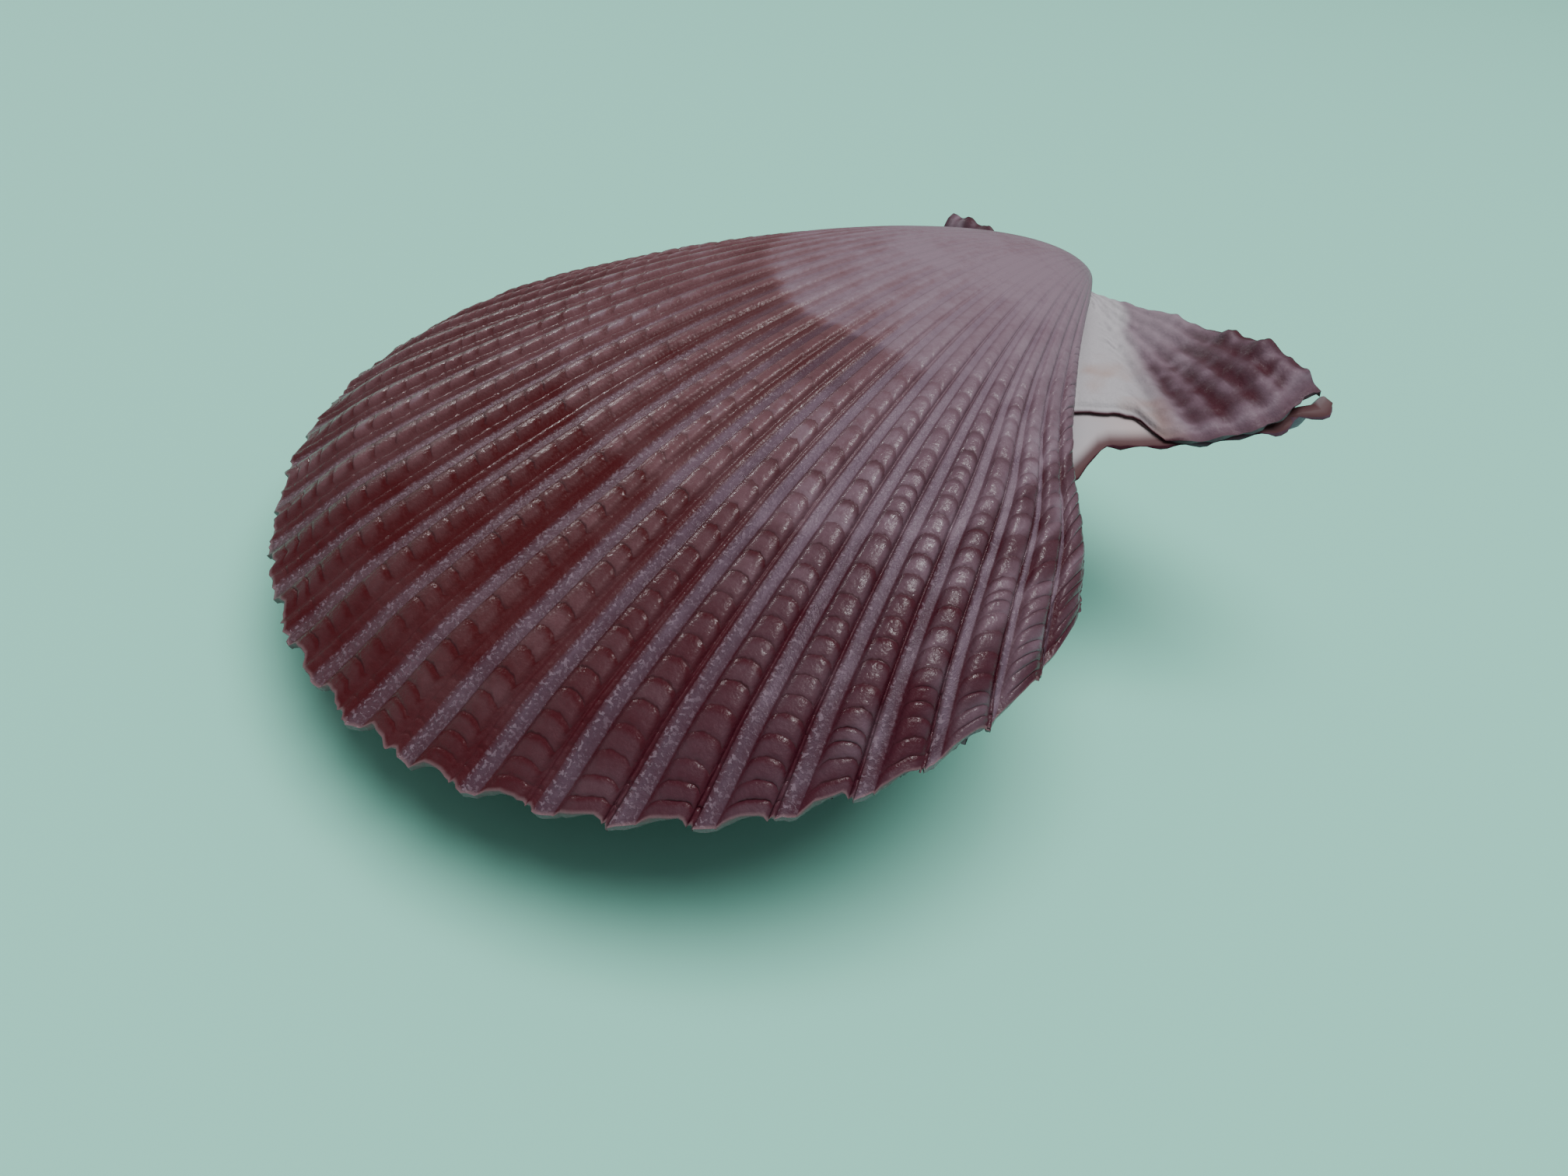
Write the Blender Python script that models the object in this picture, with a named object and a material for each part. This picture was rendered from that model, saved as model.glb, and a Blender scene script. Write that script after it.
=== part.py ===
"""Closed scallop shell: two ribbed valves held together by a hinge ligament.

The shell is drawn in its own axes first: +X towards the front ear, +Y from the
ventral edge to the hinge, +Z through the upper (right) valve, with the plane
between the valves at z = 0 and the beaks at the origin.  An empty then leans
the closed shell the way it lies on a table, on the belly of the lower valve.
"""
import math

import bmesh
import bpy
import numpy as np

# --- size and pose, in metres and degrees ------------------------------------
SHELL_HEIGHT = 0.048          # beak to ventral edge
REST_PITCH = 11.1             # hinge end raised, ventral edge lowered: its own balance
REST_ROLL = -2.3              # front ear side raised

# --- disc outline, in shell heights ------------------------------------------
DISC_CENTRE = (0.004, -0.600)
DISC_HALF_AXES = (0.481, 0.400)
DISC_SLANT = -14.6            # the long axis drops towards the front
FRONT_FLANK = 44.2            # beam angle of the disc's straight front side
BACK_FLANK = -50.0            # and of its back side

# --- ear outlines: beam angle from the ventral line, distance from the beak ---
RIGHT_FRONT_EAR = ((44.2, 0.277), (50, 0.279), (54, 0.281), (58, 0.315), (63, 0.336),
                   (68, 0.346), (76, 0.350), (84, 0.347), (90, 0.358))
LEFT_FRONT_EAR = ((44.2, 0.390), (46, 0.362), (50, 0.338), (60, 0.348), (68, 0.358),
                  (76, 0.364), (82, 0.372), (90, 0.396))
BACK_EAR = ((50, 0.275), (62, 0.240), (75, 0.228), (90, 0.236))

# --- inflation, as the spiral rate of each surface ---------------------------
RIGHT_SPIRAL = 0.360
LEFT_SPIRAL = 0.500
EAR_SPIRAL = 0.030

# --- wall and relief ---------------------------------------------------------
HALF_GAP = 0.00015            # from the middle plane to either valve
EDGE_HEIGHT = 0.0010          # outer surface above the middle plane at the edge
CAVITY_SCALE = 0.968          # cavity outline against the disc outline
CAVITY_RISE = 0.98            # cavity height against the outer surface's rise
CAVITY_LIFT = 0.00005
CAVITY_START = 0.20           # growth stage where the hollow begins below the beak
HINGE_PLATE = 0.080           # solid depth below the hinge, in shell heights
RIB_RELIEF = 0.00028          # half of the height from groove to crest
RIBLET_RELIEF = 0.00010
RIB_ANGLE = 4.15              # degrees from rib to rib at the middle of the disc
RIB_CROWDING = 0.345          # how much closer together they stand at the flanks
BOTTOM_DROP = 0.0015          # how far the cavity cutter passes the plane
WORN_DEPTH = 0.00018          # rib crests worn flat where the belly lies

# --- ligament ----------------------------------------------------------------
LIGAMENT_THICKNESS = 0.0004
LIGAMENT_WIDTH = 0.0012
LIGAMENT_END_WIDTH = 0.0007
LIGAMENT_TOP = -0.0002        # its outer edge, just inside the hinge edge
LIGAMENT_SPAN = (-0.0095, 0.0150)
RESILIUM_HALF_WIDTH = 0.0012
RESILIUM_DEPTH = 0.0009
LIGAMENT_GAP = 0.0003
PIT_OPENING = 0.0010          # how far the pit cutter passes the hinge edge

# --- mesh density ------------------------------------------------------------
ROWS = 13
ROW_POWER = 1.25
CAVITY_COLUMNS = 40
CAVITY_ROWS = 10
FLANK_COLUMNS = 4


def remove_scene_objects():
    for item in list(bpy.data.objects):
        bpy.data.objects.remove(item, do_unlink=True)


def new_collection(name):
    collection = bpy.data.collections.new(name)
    bpy.context.scene.collection.children.link(collection)
    return collection


def new_material(name, colour, roughness):
    material = bpy.data.materials.new(name)
    material.use_nodes = True
    shader = material.node_tree.nodes["Principled BSDF"]
    shader.inputs["Base Color"].default_value = (*colour, 1.0)
    shader.inputs["Roughness"].default_value = roughness
    shader.inputs["Metallic"].default_value = 0.0
    return material


# --- outline ------------------------------------------------------------------
def disc_radius(beam):
    """Distance from the beak to the far side of the disc ellipse."""
    angle = math.radians(beam)
    slant = math.radians(DISC_SLANT)
    half_long, half_short = DISC_HALF_AXES
    ray = (math.sin(angle), -math.cos(angle))
    start = (-DISC_CENTRE[0], -DISC_CENTRE[1])

    def in_ellipse_axes(pair):
        along = (pair[0] * math.cos(slant) + pair[1] * math.sin(slant)) / half_long
        across = (-pair[0] * math.sin(slant) + pair[1] * math.cos(slant)) / half_short
        return along, across

    ray_x, ray_y = in_ellipse_axes(ray)
    start_x, start_y = in_ellipse_axes(start)
    square = ray_x ** 2 + ray_y ** 2
    half = ray_x * start_x + ray_y * start_y
    rest = start_x ** 2 + start_y ** 2 - 1.0
    return (-half + math.sqrt(max(half * half - square * rest, 0.0))) / square


def ear_radius(outline, beam):
    beams = [knot[0] for knot in outline]
    radii = [knot[1] for knot in outline]
    return float(np.interp(abs(beam), beams, radii))


def beam_of_sweep(sweep):
    """Beam angle at a sweep of -1 to 1, so that ribs crowd towards the flanks."""
    flank = FRONT_FLANK if sweep > 0 else -BACK_FLANK
    even, crowded = sweep, math.sin(sweep * math.pi / 2)
    return flank * ((1 - RIB_CROWDING) * even + RIB_CROWDING * crowded)


def rib_count(flank):
    """Ribs from the middle of the disc to one flank."""
    widening = 1 + RIB_CROWDING * (math.pi / 2 - 1)
    return round(abs(flank) * widening / RIB_ANGLE)


def disc_columns():
    """Columns over the disc: three to a rib, as (beam, radius, relief)."""
    columns = []
    back, front = rib_count(BACK_FLANK), rib_count(FRONT_FLANK)
    for step in range(-3 * back, 3 * front + 1):
        limit = front if step > 0 else back
        beam = beam_of_sweep(step / (3 * limit))
        relief = -1.0 if step % 3 == 0 else 0.6
        columns.append((beam, disc_radius(beam), relief * RIB_RELIEF))
    return columns


def ear_columns(outline, riblets, first_riblet, side):
    """Columns over an ear from its disc flank to the hinge, two to a riblet."""
    columns = []
    flank = outline[0][0]
    if first_riblet > flank:
        for beam in np.linspace(flank, first_riblet, 4)[:-1]:
            columns.append((side * beam, ear_radius(outline, beam), 0.0))
    for step in range(2 * riblets + 1):
        beam = first_riblet + (90.0 - first_riblet) * step / (2 * riblets)
        relief = RIBLET_RELIEF * (1 if step % 2 else -1)
        columns.append((side * beam, ear_radius(outline, beam), relief))
    return columns


def valve_columns(front_ear, riblets, first_riblet, spiral):
    """Every column of a valve from the back ear to the front ear."""
    back = ear_columns(BACK_EAR, 4, 50.0, -1)[::-1]
    front = ear_columns(front_ear, riblets, first_riblet, 1)
    disc = disc_columns()
    columns = [(*item, EAR_SPIRAL) for item in back]
    columns += flank_columns(back[-1][1], disc[0], spiral, rising=True)
    columns += [(*item, spiral) for item in disc]
    columns += flank_columns(front[0][1], disc[-1], spiral, rising=False)
    columns += [(*item, EAR_SPIRAL) for item in front]
    return columns


def flank_columns(ear_end, disc_end, spiral, rising):
    """Columns along the straight side of the disc, between an ear and the ribs."""
    beam, far_radius, _ = disc_end
    columns = []
    for step in range(1, FLANK_COLUMNS + 1):
        share = step / (FLANK_COLUMNS + 1)
        radius = ear_end + (far_radius - ear_end) * share
        columns.append((beam, radius, 0.0, spiral * min(1.0, 0.35 + 1.3 * share)))
    return columns if rising else columns[::-1]


# --- surface ------------------------------------------------------------------
def surface_point(beam, radius, spiral, growth):
    """A point of the shell surface at one stage of growth, 0 to 1."""
    angle = math.radians(beam)
    turn = -spiral * math.log(growth)
    across = radius * math.sin(angle) * growth
    along = -radius * math.cos(angle) * growth
    return np.array((across, along * math.cos(turn), -along * math.sin(turn))) * SHELL_HEIGHT


def growth_stages(rows, start=0.0):
    """Stages from the edge, at 1, down towards the beak, closer together near it."""
    return [start + (1 - start) * ((rows - row) / rows) ** ROW_POWER for row in range(rows)]


def outer_grid(columns):
    """Ribbed outer surface as rows of points, from the edge to the beak."""
    stages = growth_stages(ROWS)
    grid = np.array([[surface_point(beam, radius, spiral, growth)
                      for beam, radius, _, spiral in columns] for growth in stages])
    across = np.gradient(grid, axis=1)
    inward = np.gradient(grid, axis=0)
    normals = np.cross(inward, across)
    lengths = np.linalg.norm(normals, axis=2, keepdims=True)
    normals = normals / np.maximum(lengths, 1e-12)
    normals[normals[:, :, 2] < 0] *= -1
    relief = np.array([item[2] for item in columns])[None, :, None]
    fade = np.array(stages)[:, None, None]
    grid = grid + normals * relief * fade
    grid[:, :, 1] = np.minimum(grid[:, :, 1], 0.0)
    grid[:, :, 2] = np.maximum(grid[:, :, 2], -0.3 * EDGE_HEIGHT)
    grid[:, :, 2] += EDGE_HEIGHT
    return grid


def cavity_grid(spiral):
    """Smooth inner surface over the disc, one wall thickness inside."""
    grid = []
    for growth in growth_stages(CAVITY_ROWS, CAVITY_START):
        row = []
        for sweep in np.linspace(-1.0, 1.0, CAVITY_COLUMNS):
            beam = beam_of_sweep(sweep)
            row.append(surface_point(beam, disc_radius(beam), spiral, growth))
        grid.append(row)
    grid = np.array(grid)
    middle = DISC_CENTRE[1] * SHELL_HEIGHT
    grid[:, :, 0] *= CAVITY_SCALE
    grid[:, :, 1] = middle + (grid[:, :, 1] - middle) * CAVITY_SCALE
    grid[:, :, 2] = grid[:, :, 2] * CAVITY_RISE + CAVITY_LIFT
    return grid


def closed_mesh(name, grid, apex, floor):
    """Close a sheet of points: a fan at its apex, straight sides and a flat floor."""
    mesh = bmesh.new()
    rows = [[mesh.verts.new(point) for point in row] for row in grid]
    tip = mesh.verts.new(apex)
    for lower, upper in zip(rows, rows[1:]):
        for index in range(len(lower) - 1):
            mesh.faces.new((lower[index], lower[index + 1], upper[index + 1], upper[index]))
    last = rows[-1]
    for index in range(len(last) - 1):
        mesh.faces.new((last[index], last[index + 1], tip))
    rim = [edge for edge in mesh.edges if edge.is_boundary]
    sides = bmesh.ops.extrude_edge_only(mesh, edges=rim)["geom"]
    for vertex in (item for item in sides if isinstance(item, bmesh.types.BMVert)):
        vertex.co.z = floor
    bmesh.ops.holes_fill(mesh, edges=[edge for edge in mesh.edges if edge.is_boundary])
    bmesh.ops.recalc_face_normals(mesh, faces=mesh.faces)
    data = bpy.data.meshes.new(name)
    mesh.to_mesh(data)
    mesh.free()
    return data


def flipped(grid):
    grid = np.array(grid)
    grid[:, :, 2] *= -1
    return grid


def add_object(name, data, collection, parent):
    item = bpy.data.objects.new(name, data)
    collection.objects.link(item)
    item.parent = parent
    return item


def add_cutter(item):
    item.hide_render = True
    item.display_type = "WIRE"
    return item


def cut(item, cutter):
    modifier = item.modifiers.new(cutter.name, "BOOLEAN")
    modifier.operation = "DIFFERENCE"
    modifier.solver = "EXACT"
    modifier.object = cutter


def build_valve(name, side, columns, spiral, material, collections, parent):
    """One valve: side is 1 for the upper valve and -1 for the lower one."""
    parts, cutters = collections
    grid = outer_grid(columns)
    hollow = cavity_grid(spiral)
    apex = np.array((0.0, 0.0, EDGE_HEIGHT))
    hollow_apex = np.array((0.0, -HINGE_PLATE * SHELL_HEIGHT, 0.0))
    if side < 0:
        grid, hollow = flipped(grid), flipped(hollow)
    scale = np.array((1, 1, side))
    outer = closed_mesh(name, grid, apex * scale, side * HALF_GAP)
    valve = add_object(name, outer, parts, parent)
    hollow_data = closed_mesh(name + "_cavity", hollow, hollow_apex * scale, -side * BOTTOM_DROP)
    cavity = add_cutter(add_object(name + "_cavity", hollow_data, cutters, parent))
    cut(valve, cavity)
    valve.data.materials.append(material)
    return valve


def ligament_outline(margin, top):
    """Flat outline of the ligament: a strip on the hinge with a wedge below the beaks."""
    start, end = LIGAMENT_SPAN
    edge = top - LIGAMENT_END_WIDTH - margin
    root = top - LIGAMENT_WIDTH - margin
    half = RESILIUM_HALF_WIDTH + margin
    tip = root - RESILIUM_DEPTH
    return [(start - margin, top), (start - margin, edge), (-half, root),
            (-0.4 * half, tip), (0.4 * half, tip), (half, root),
            (end + margin, edge), (end + margin, top)]


def build_ligament_mesh(name, outline, thickness):
    curve = bpy.data.curves.new(name, "CURVE")
    curve.dimensions = "2D"
    curve.fill_mode = "BOTH"
    curve.extrude = thickness / 2
    spline = curve.splines.new("POLY")
    spline.points.add(len(outline) - 1)
    for point, place in zip(spline.points, outline):
        point.co = (*place, 0.0, 1.0)
    spline.use_cyclic_u = True
    source = bpy.data.objects.new(name + "_outline", curve)
    bpy.context.scene.collection.objects.link(source)
    depsgraph = bpy.context.evaluated_depsgraph_get()
    data = bpy.data.meshes.new_from_object(source.evaluated_get(depsgraph))
    bpy.data.objects.remove(source, do_unlink=True)
    welded = bmesh.new()
    welded.from_mesh(data)
    bmesh.ops.remove_doubles(welded, verts=welded.verts, dist=1e-6)
    bmesh.ops.recalc_face_normals(welded, faces=welded.faces)
    welded.to_mesh(data)
    welded.free()
    data.name = name
    return data


def settle(frame_empty, pieces):
    """Lean the shell, then stand its lowest point at z = 0 over the origin."""
    frame_empty.rotation_euler = (math.radians(REST_PITCH), math.radians(REST_ROLL), 0.0)
    bpy.context.view_layer.update()
    depsgraph = bpy.context.evaluated_depsgraph_get()
    corners = []
    for piece in pieces:
        shape = piece.evaluated_get(depsgraph)
        for vertex in shape.data.vertices:
            corners.append(tuple(shape.matrix_world @ vertex.co))
    low = np.min(corners, axis=0)
    high = np.max(corners, axis=0)
    frame_empty.location = (-(low[0] + high[0]) / 2, -(low[1] + high[1]) / 2,
                            -low[2] - WORN_DEPTH)
    bpy.context.view_layer.update()


def wear_belly(valve, collection):
    """Cut the lowest rib crests flat at z = 0, where the shell lies."""
    bpy.ops.mesh.primitive_cube_add(size=SHELL_HEIGHT)
    table = add_cutter(bpy.context.active_object)
    table.name = "worn_plane"
    for owner in list(table.users_collection):
        owner.objects.unlink(table)
    collection.objects.link(table)
    table.location = (0.0, 0.0, -SHELL_HEIGHT / 2)
    cut(valve, table)


def shade(item):
    for polygon in item.data.polygons:
        polygon.use_smooth = True
    item.data.set_sharp_from_angle(angle=math.radians(50))


def main():
    remove_scene_objects()
    parts = new_collection("scallop_shell")
    cutters = new_collection("cutters")
    lean = bpy.data.objects.new("resting_lean", None)
    parts.objects.link(lean)

    right_skin = new_material("right_valve", (0.24, 0.075, 0.085), 0.45)
    left_skin = new_material("left_valve", (0.20, 0.07, 0.085), 0.45)
    ligament_skin = new_material("hinge_ligament", (0.06, 0.03, 0.02), 0.5)

    right = build_valve("right_valve", 1,
                        valve_columns(RIGHT_FRONT_EAR, 5, 60.0, RIGHT_SPIRAL),
                        RIGHT_SPIRAL, right_skin, (parts, cutters), lean)
    left = build_valve("left_valve", -1,
                       valve_columns(LEFT_FRONT_EAR, 6, 48.0, LEFT_SPIRAL),
                       LEFT_SPIRAL, left_skin, (parts, cutters), lean)

    outline = ligament_outline(0.0, LIGAMENT_TOP)
    ligament_data = build_ligament_mesh("hinge_ligament", outline, LIGAMENT_THICKNESS)
    ligament = add_object("hinge_ligament", ligament_data, parts, lean)
    ligament.data.materials.append(ligament_skin)
    pit_outline = [(across, PIT_OPENING if along == LIGAMENT_TOP else along)
                   for across, along in ligament_outline(LIGAMENT_GAP, LIGAMENT_TOP)]
    pit_data = build_ligament_mesh("ligament_pit", pit_outline,
                                   LIGAMENT_THICKNESS + 2 * LIGAMENT_GAP)
    pit = add_cutter(add_object("ligament_pit", pit_data, cutters, lean))
    for valve in (right, left):
        cut(valve, pit)
        shade(valve)
    settle(lean, (right, left, ligament))
    wear_belly(left, cutters)


main()
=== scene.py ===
"""The looks of a closed scallop shell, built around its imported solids."""
import math
from functools import reduce
from types import SimpleNamespace

import bmesh
import bpy
import numpy as np
from mathutils import Euler, Matrix, Vector


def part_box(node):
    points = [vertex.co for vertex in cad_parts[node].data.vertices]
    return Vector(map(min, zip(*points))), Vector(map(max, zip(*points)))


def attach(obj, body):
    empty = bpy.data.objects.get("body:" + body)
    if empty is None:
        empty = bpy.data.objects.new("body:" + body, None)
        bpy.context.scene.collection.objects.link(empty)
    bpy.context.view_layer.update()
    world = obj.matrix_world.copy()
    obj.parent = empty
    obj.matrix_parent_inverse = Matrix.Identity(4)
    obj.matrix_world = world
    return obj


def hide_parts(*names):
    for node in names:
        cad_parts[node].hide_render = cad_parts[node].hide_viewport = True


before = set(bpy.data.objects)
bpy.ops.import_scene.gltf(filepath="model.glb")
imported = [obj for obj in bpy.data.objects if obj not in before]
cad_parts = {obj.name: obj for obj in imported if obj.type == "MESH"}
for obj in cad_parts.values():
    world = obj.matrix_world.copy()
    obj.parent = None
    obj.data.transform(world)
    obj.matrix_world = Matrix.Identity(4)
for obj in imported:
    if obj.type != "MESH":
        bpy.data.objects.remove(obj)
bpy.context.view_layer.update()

# --- size and pose: the same figures as the solids ---
HEIGHT = 0.048  # beak to ventral edge
REST_PITCH = 11.1  # degrees
REST_ROLL = -2.3
LIGAMENT_SPAN = (-0.0095, 0.0150)
LIGAMENT_TOP = -0.0002
LIGAMENT_THICKNESS = 0.0004
LIGAMENT_END = -0.0009
RESILIUM_HALF = 0.0012
RESILIUM_TIP = -0.0023

# The disc's outline is a slanted ellipse, in shell heights from the beak.
DISC_CENTRE = (0.004, -0.600)
DISC_HALF_AXES = (0.481, 0.400)
DISC_SLANT = -14.6  # degrees
FRONT_FLANK = 44.2  # degrees from the ventral line
BACK_FLANK = 50.0
RIB_ANGLE = 4.15  # degrees from rib to rib at the middle of the disc
RIB_CROWDING = 0.345  # how much closer together they stand at the flanks
# Radians that the edge turns about the hinge while it grows by a factor of e.
RIGHT_SPIRAL = 0.360
LEFT_SPIRAL = 0.500
EAR_SPIRAL = 0.030

# How the front flank bends: distance from the beak, degrees from its beam.
FLANK_BOW = ((0.27, -1.9), (0.38, -1.6), (0.44, -0.9), (0.48, -0.1), (0.52, 0.65),
             (0.55, 0.9), (0.59, 0.75), (0.64, 0.40), (0.70, 0.1), (0.74, 0.0))

# Ear outlines: beam angle from the ventral line, distance from the beak.
RIGHT_FRONT_EAR = ((42.5, 0.272), (53, 0.275), (56.4, 0.287), (57.9, 0.310), (58.8, 0.333),
                   (63, 0.340), (68, 0.345), (75, 0.351), (80, 0.352), (84, 0.345),
                   (87, 0.343), (90, 0.345))
LEFT_FRONT_EAR = ((40.3, 0.415), (44.2, 0.390), (46, 0.356), (49, 0.329), (58, 0.332),
                  (64, 0.335), (69, 0.341), (73, 0.344), (77, 0.353), (80, 0.358),
                  (82.5, 0.352), (84, 0.350), (85.5, 0.361), (87, 0.367), (88.5, 0.368),
                  (90, 0.361))
BACK_EAR = ((50, 0.275), (62, 0.240), (75, 0.228), (90, 0.236))
BACK_RIBLETS = 4
BACK_FIRST_RIBLET = 51.0  # degrees

# --- relief, in metres ---
MEAN_LIFT = 0.00100  # mid height of the ribbed surface above the middle plane
DIP_LIMIT = -0.00015  # the surface goes no lower than this before it is lifted
RIB_RISE = 0.00042  # crest above lane
BEAD_RISE = 0.000024
SIDE_BEAD_RISE = 0.000036
RIBLET_RISE = 0.00020
CRUMBS = 0.00005  # rough knobs on the last ribs in front
BACK_KNOBS = 0.00007  # the same on the last ribs behind
FLANK_SINK = 0.00018  # how much lower the ribs lie towards the flanks
GROWTH_STEP = 0.00005  # how much higher the shell is inside an old growth line
EAR_LINES = 0.00006  # growth lines across the ears
EAR_THICKNESS = 0.00038
EDGE_UNDERSIDE = (0.00036, 0.00027)  # mean height and wave of the upper edge's foot
MATING_UNDERSIDE = (-0.00004, 0.00021)  # the same for the lower edge

# Across one rib from lane to lane: place, height, bead, side bead, groove, lane.
RIB_PROFILE = (
    (0.000, 0.04, 0, 0, 0, 1.0), (0.120, 0.02, 0, 0, 0.2, 0.9),
    (0.150, 0.08, 0, 0, 1.0, 0.2), (0.185, 0.55, 0.6, 0, 0.25, 0),
    (0.235, 0.86, 0.9, 0, 0, 0), (0.310, 0.95, 1.0, 0, 0, 0),
    (0.400, 1.00, 1.0, 0, 0, 0), (0.485, 1.00, 1.0, 0, 0, 0),
    (0.540, 0.86, 0.9, 0, 0.1, 0), (0.585, 0.60, 0.6, 0, 0.6, 0),
    (0.630, 0.30, 0, 0, 1.0, 0), (0.670, 0.20, 0, 0, 1.0, 0),
    (0.712, 0.42, 0, 0.9, 0.95, 0), (0.762, 0.42, 0, 1.0, 0.92, 0),
    (0.808, 0.12, 0, 0, 1.0, 0), (0.850, 0.02, 0, 0, 0.5, 0.7),
    (0.925, 0.05, 0, 0, 0, 1.0),
)
# Where the lane's end, the bead row's end and the next lane's start lie: in the profile
# above, on the middle ribs, on the ribs in front and on the last ones before the flank.
ROW_PLACES = (0.13, 0.57, 0.85)
MIDDLE_PLACES = (0.12, 0.52, 0.86)
FRONT_PLACES = (0.12, 0.74, 0.845)
LAST_PLACES = (0.07, 0.83, 0.94)
RIBLET_PROFILE = ((0.0, 0.0), (0.16, 0.25), (0.32, 0.80), (0.50, 1.0), (0.68, 0.80),
                  (0.84, 0.25))
# Along one bead from its edge side to its beak side: place, height, side bead's height.
BEAD_STEPS = ((0.0, -1.0, -1.0), (0.07, 0.20, 0.5), (0.24, 0.50, 0.5), (0.66, 0.50, -0.7),
              (0.92, 0.20, 0.5))
COARSE_STEPS = ((0.0, 0.0, 0.0), (0.5, 0.0, 0.0))
FINE_FROM = 0.34  # growth stage where the beads begin
# Growth stage, then a bead's length there as a share of the whole.
BEAD_SPACING = ((0.0, 0.018), (0.3, 0.024), (0.45, 0.027), (0.6, 0.028), (0.75, 0.025),
                (0.9, 0.022), (0.97, 0.019), (1.0, 0.016))
BEAD_ARC = (0.08, 0.24)  # how far a bead's sides lag, in beads: back, front
# Beam angle, then how far the front side of a bead lags there, in growth.
BEAD_LEAN = ((5, 0.0), (30, 0.008), (38, 0.011), (43, 0.012))
BEAD_DRIFT = 0.30  # waves per bead in the unevenness of the bead rows
RIB_DRIFT = 3.7  # how far those waves move on from rib to rib
# How ragged the edge is, as a share of its radius on the disc and on the ears, with the
# waves per column and their seed.
RAGGED_EDGE = ((0.0028, 0.0028, 0.43, 5), (0.0026, 0.0026, 0.13, 6), (0.0020, 0.0055, 0.97, 7))
DISC_LOBE = 0.009  # how much further the lanes reach than the crests
RIBLET_MEAN = 0.4  # mean height in the riblets' profile

DISC, FLANK, BACK_EAR_ZONE, FRONT_EAR_ZONE = 0, 1, 2, 3


# What scatters the digits in hashed, and how far sheet_noise moves on from row to row.
HASH_FACTORS = (127.1, 74.7, 43758.5453)
ROW_SHIFT = 17.3


def eased(share):
    return share * share * (3 - 2 * share)


def fade(low, high, value):
    """0 at low and 1 at high, also where high is the smaller one."""
    return eased(np.clip((value - low) / (high - low), 0.0, 1.0))


def along_knots(knots, value):
    """What a table of knots, each a place and an amount, gives at value."""
    places, amounts = zip(*knots)
    return np.interp(value, places, amounts)


def hashed(index, seed):
    """A fixed number from -1 to 1 that looks random."""
    by_index, by_seed, spread = HASH_FACTORS
    mixed = np.sin(np.asarray(index, dtype=float) * by_index + seed * by_seed) * spread
    return 2 * (mixed - np.floor(mixed)) - 1


def wave_noise(place, seed):
    """Smooth noise from -1 to 1 along place."""
    cell = np.floor(place)
    share = eased(place - cell)
    return hashed(cell, seed) * (1 - share) + hashed(cell + 1, seed) * share


def sheet_noise(across, along, seed):
    """Smooth noise from -1 to 1 over two directions."""
    cell = np.floor(across)
    share = eased(across - cell)
    near = wave_noise(along + ROW_SHIFT * cell, seed)
    far = wave_noise(along + ROW_SHIFT * (cell + 1), seed)
    return near * (1 - share) + far * share


# --- outline ---
def disc_radius(beam):
    """Distance from the beak to the far side of the disc ellipse."""
    angle = np.radians(beam)
    slant = math.radians(DISC_SLANT)
    half_long, half_short = DISC_HALF_AXES

    def in_ellipse_axes(across, along):
        return ((across * math.cos(slant) + along * math.sin(slant)) / half_long,
                (-across * math.sin(slant) + along * math.cos(slant)) / half_short)

    ray_x, ray_y = in_ellipse_axes(np.sin(angle), -np.cos(angle))
    start_x, start_y = in_ellipse_axes(-DISC_CENTRE[0], -DISC_CENTRE[1])
    square = ray_x ** 2 + ray_y ** 2
    half = ray_x * start_x + ray_y * start_y
    rest = start_x ** 2 + start_y ** 2 - 1.0
    return (-half + np.sqrt(np.maximum(half * half - square * rest, 0.0))) / square


RIB_WIDENING = 1 + RIB_CROWDING * (math.pi / 2 - 1)
BACK_RIBS = round(BACK_FLANK * RIB_WIDENING / RIB_ANGLE)
FRONT_RIBS = round(FRONT_FLANK * RIB_WIDENING / RIB_ANGLE)


def beam_of_phase(phase):
    """Beam angle after so many ribs, which crowd towards the flanks."""
    flank = FRONT_FLANK if phase > 0 else BACK_FLANK
    limit = FRONT_RIBS if phase > 0 else BACK_RIBS
    sweep = min(1.0, max(-1.0, phase / limit))
    return flank * ((1 - RIB_CROWDING) * sweep + RIB_CROWDING * math.sin(sweep * math.pi / 2))


def ear_radius(outline, beam):
    return along_knots(outline, np.abs(beam))


# --- columns ---
# A column runs from the edge to the beak. Its phase counts the ribs from the middle of the
# disc, or an ear's riblets, and its place is where it lies across one of them.
FIELDS = ("beam", "radius", "spiral", "zone", "phase", "place", "height",
          "bead", "side", "groove", "lane")
FLANK_COLUMNS = 8
FLANK_RELIEF = (0.30, 0.35)  # height of a flank's grooves, and of its crests above them
STRIP_STEP = 1.3  # degrees between columns on the smooth strip beside the disc


def column(**values):
    return [float(values.get(field, 0.0)) for field in FIELDS]


def shifted(place, rib):
    """Place across a rib, moved because lanes and rows differ from rib to rib."""
    to_front = float(fade(0.5, 6.0, rib))
    to_last = float(fade(8.5, 11.0, rib))
    limits = [middle + (front - middle) * to_front + (last - front) * to_last
              for middle, front, last in zip(MIDDLE_PLACES, FRONT_PLACES, LAST_PLACES)]
    return np.interp(place, (0, *ROW_PLACES, 1), (0, *limits, 1))


def disc_columns(shift, spiral):
    columns = []
    for rib in range(-BACK_RIBS - 1, FRONT_RIBS + 1):
        for place, height, bead, side, groove, lane in RIB_PROFILE:
            phase = rib + shifted(place, rib) + shift
            if not -BACK_RIBS < phase < FRONT_RIBS:
                continue
            beam = beam_of_phase(phase)
            columns.append(column(beam=beam, radius=disc_radius(beam), spiral=spiral, zone=DISC,
                                  phase=rib + place, place=place, height=height, bead=bead,
                                  side=side, groove=groove, lane=lane))
    return columns


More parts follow.
